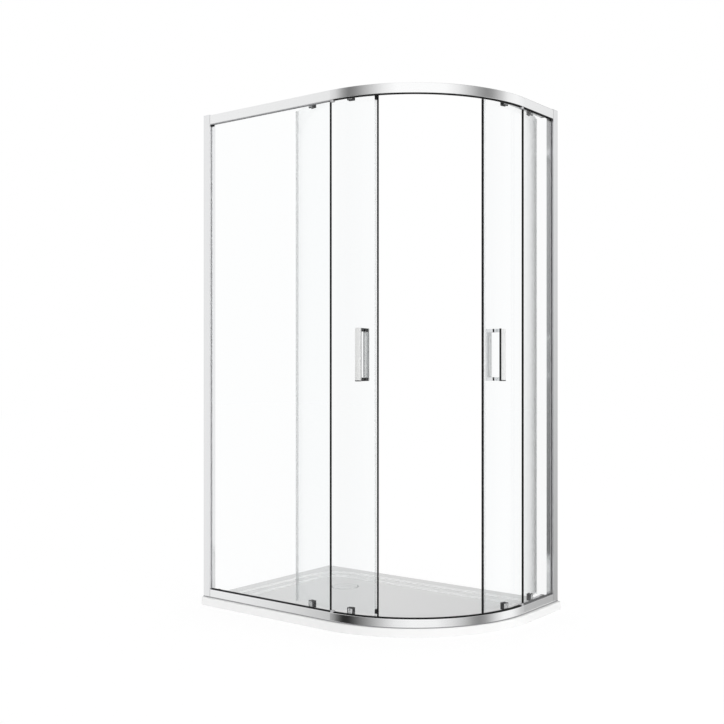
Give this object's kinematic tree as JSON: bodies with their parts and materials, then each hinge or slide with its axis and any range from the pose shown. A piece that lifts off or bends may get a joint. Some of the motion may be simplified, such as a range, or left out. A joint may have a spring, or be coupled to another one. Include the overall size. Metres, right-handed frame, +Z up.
{
  "type": "shower enclosure",
  "caption": "Corner shower enclosure with a rounded front, curved sliding glass doors and flat fixed panes in bright metal rails, on a low white tray.",
  "frame": {"origin": "centre of the tray's outer rectangle, at its underside on the floor", "axes": "+Z up, +X to the right along the long back wall, +Y from the front to that wall"},
  "size_m": [1.2, 0.8, 1.9745],
  "materials": {
    "tray_acrylic": "gloss moulded white",
    "polished_rail": "bright polished",
    "satin_channel": "as extruded",
    "clear_glass": "clear toughened",
    "clear_seal": "translucent extrusion",
    "black_strip": "matte black",
    "black_plastic": "moulded black",
    "grey_gasket": "matte dark grey",
    "chrome": "mirror plated",
    "steel": "stainless",
    "white_nylon": "moulded white"
  },
  "bodies": {
    "frame": {"shower_tray": "tray_acrylic", "waste_flange": "steel", "top_rail": "polished_rail", "bottom_rail": "polished_rail", "top_filler": "black_strip", "bottom_filler": "black_strip", "post_screws": "steel", "post_caps": "polished_rail", "top_end_blocks": "black_plastic", "bottom_end_blocks": "black_plastic", "left_wall_channel": "satin_channel", "left_post": "polished_rail", "left_fixed_glass": "clear_glass", "left_post_gasket": "grey_gasket", "left_rail_gaskets": "grey_gasket", "left_end_seal": "black_strip", "left_door_stop": "black_plastic", "right_wall_channel": "satin_channel", "right_post": "polished_rail", "right_fixed_glass": "clear_glass", "right_post_gasket": "grey_gasket", "right_rail_gaskets": "grey_gasket", "right_end_seal": "black_strip", "right_door_stop": "black_plastic"},
    "left_door": {"left_door_glass": "clear_glass", "left_lead_seal": "clear_seal", "left_magnet_strip": "black_strip", "left_trail_seal": "clear_seal", "left_handle_outer": "chrome", "left_handle_inner": "chrome", "left_handle_bolts": "steel", "left_handle_washers": "black_plastic", "left_top_clamps": "chrome", "left_bottom_guides": "chrome", "left_clamp_screws": "steel", "left_guide_feet": "white_nylon", "left_trolleys": "white_nylon", "left_hanger_studs": "steel", "left_axles": "steel"},
    "right_door": {"right_door_glass": "clear_glass", "right_lead_seal": "clear_seal", "right_magnet_strip": "black_strip", "right_trail_seal": "clear_seal", "right_handle_outer": "chrome", "right_handle_inner": "chrome", "right_handle_bolts": "steel", "right_handle_washers": "black_plastic", "right_top_clamps": "chrome", "right_bottom_guides": "chrome", "right_clamp_screws": "steel", "right_guide_feet": "white_nylon", "right_trolleys": "white_nylon", "right_hanger_studs": "steel", "right_axles": "steel"},
    "left_front_wheels": {"left_front_wheels": "white_nylon"},
    "left_rear_wheels": {"left_rear_wheels": "white_nylon"},
    "right_front_wheels": {"right_front_wheels": "white_nylon"},
    "right_rear_wheels": {"right_rear_wheels": "white_nylon"},
    "waste_cover": {"waste_cover": "tray_acrylic"}
  },
  "joints": [
    {"name": "left_door_slide", "type": "hinge", "parent": "frame", "child": "left_door", "pos_m": [0.03914, 0.20661, 0], "axis": [0, 0, -1], "range_deg": [-20.82, 0]},
    {"name": "right_door_slide", "type": "hinge", "parent": "frame", "child": "right_door", "pos_m": [-0.00661, 0.16086, 0], "axis": [0, 0, 1], "range_deg": [-19.97, 0]},
    {"name": "left_front_wheels_roll", "type": "hinge", "parent": "left_door", "child": "left_front_wheels", "pos_m": [0.13523, -0.34427, 1.96025], "axis": [0.1647, -0.9863, 0], "continuous": true},
    {"name": "left_rear_wheels_roll", "type": "hinge", "parent": "left_door", "child": "left_rear_wheels", "pos_m": [-0.05061, -0.34535, 1.96025], "axis": [-0.1014, -0.9948, 0], "continuous": true},
    {"name": "right_front_wheels_roll", "type": "hinge", "parent": "right_door", "child": "right_front_wheels", "pos_m": [0.54279, 0.05661, 1.96025], "axis": [0.9838, -0.1793, 0], "continuous": true},
    {"name": "right_rear_wheels_roll", "type": "hinge", "parent": "right_door", "child": "right_rear_wheels", "pos_m": [0.54662, 0.24241, 1.96025], "axis": [0.9962, 0.0866, 0], "continuous": true},
    {"name": "waste_cover_lift", "type": "slide", "parent": "frame", "child": "waste_cover", "axis": [0, 0, 1], "range_m": [0, 0.04]}
  ]
}
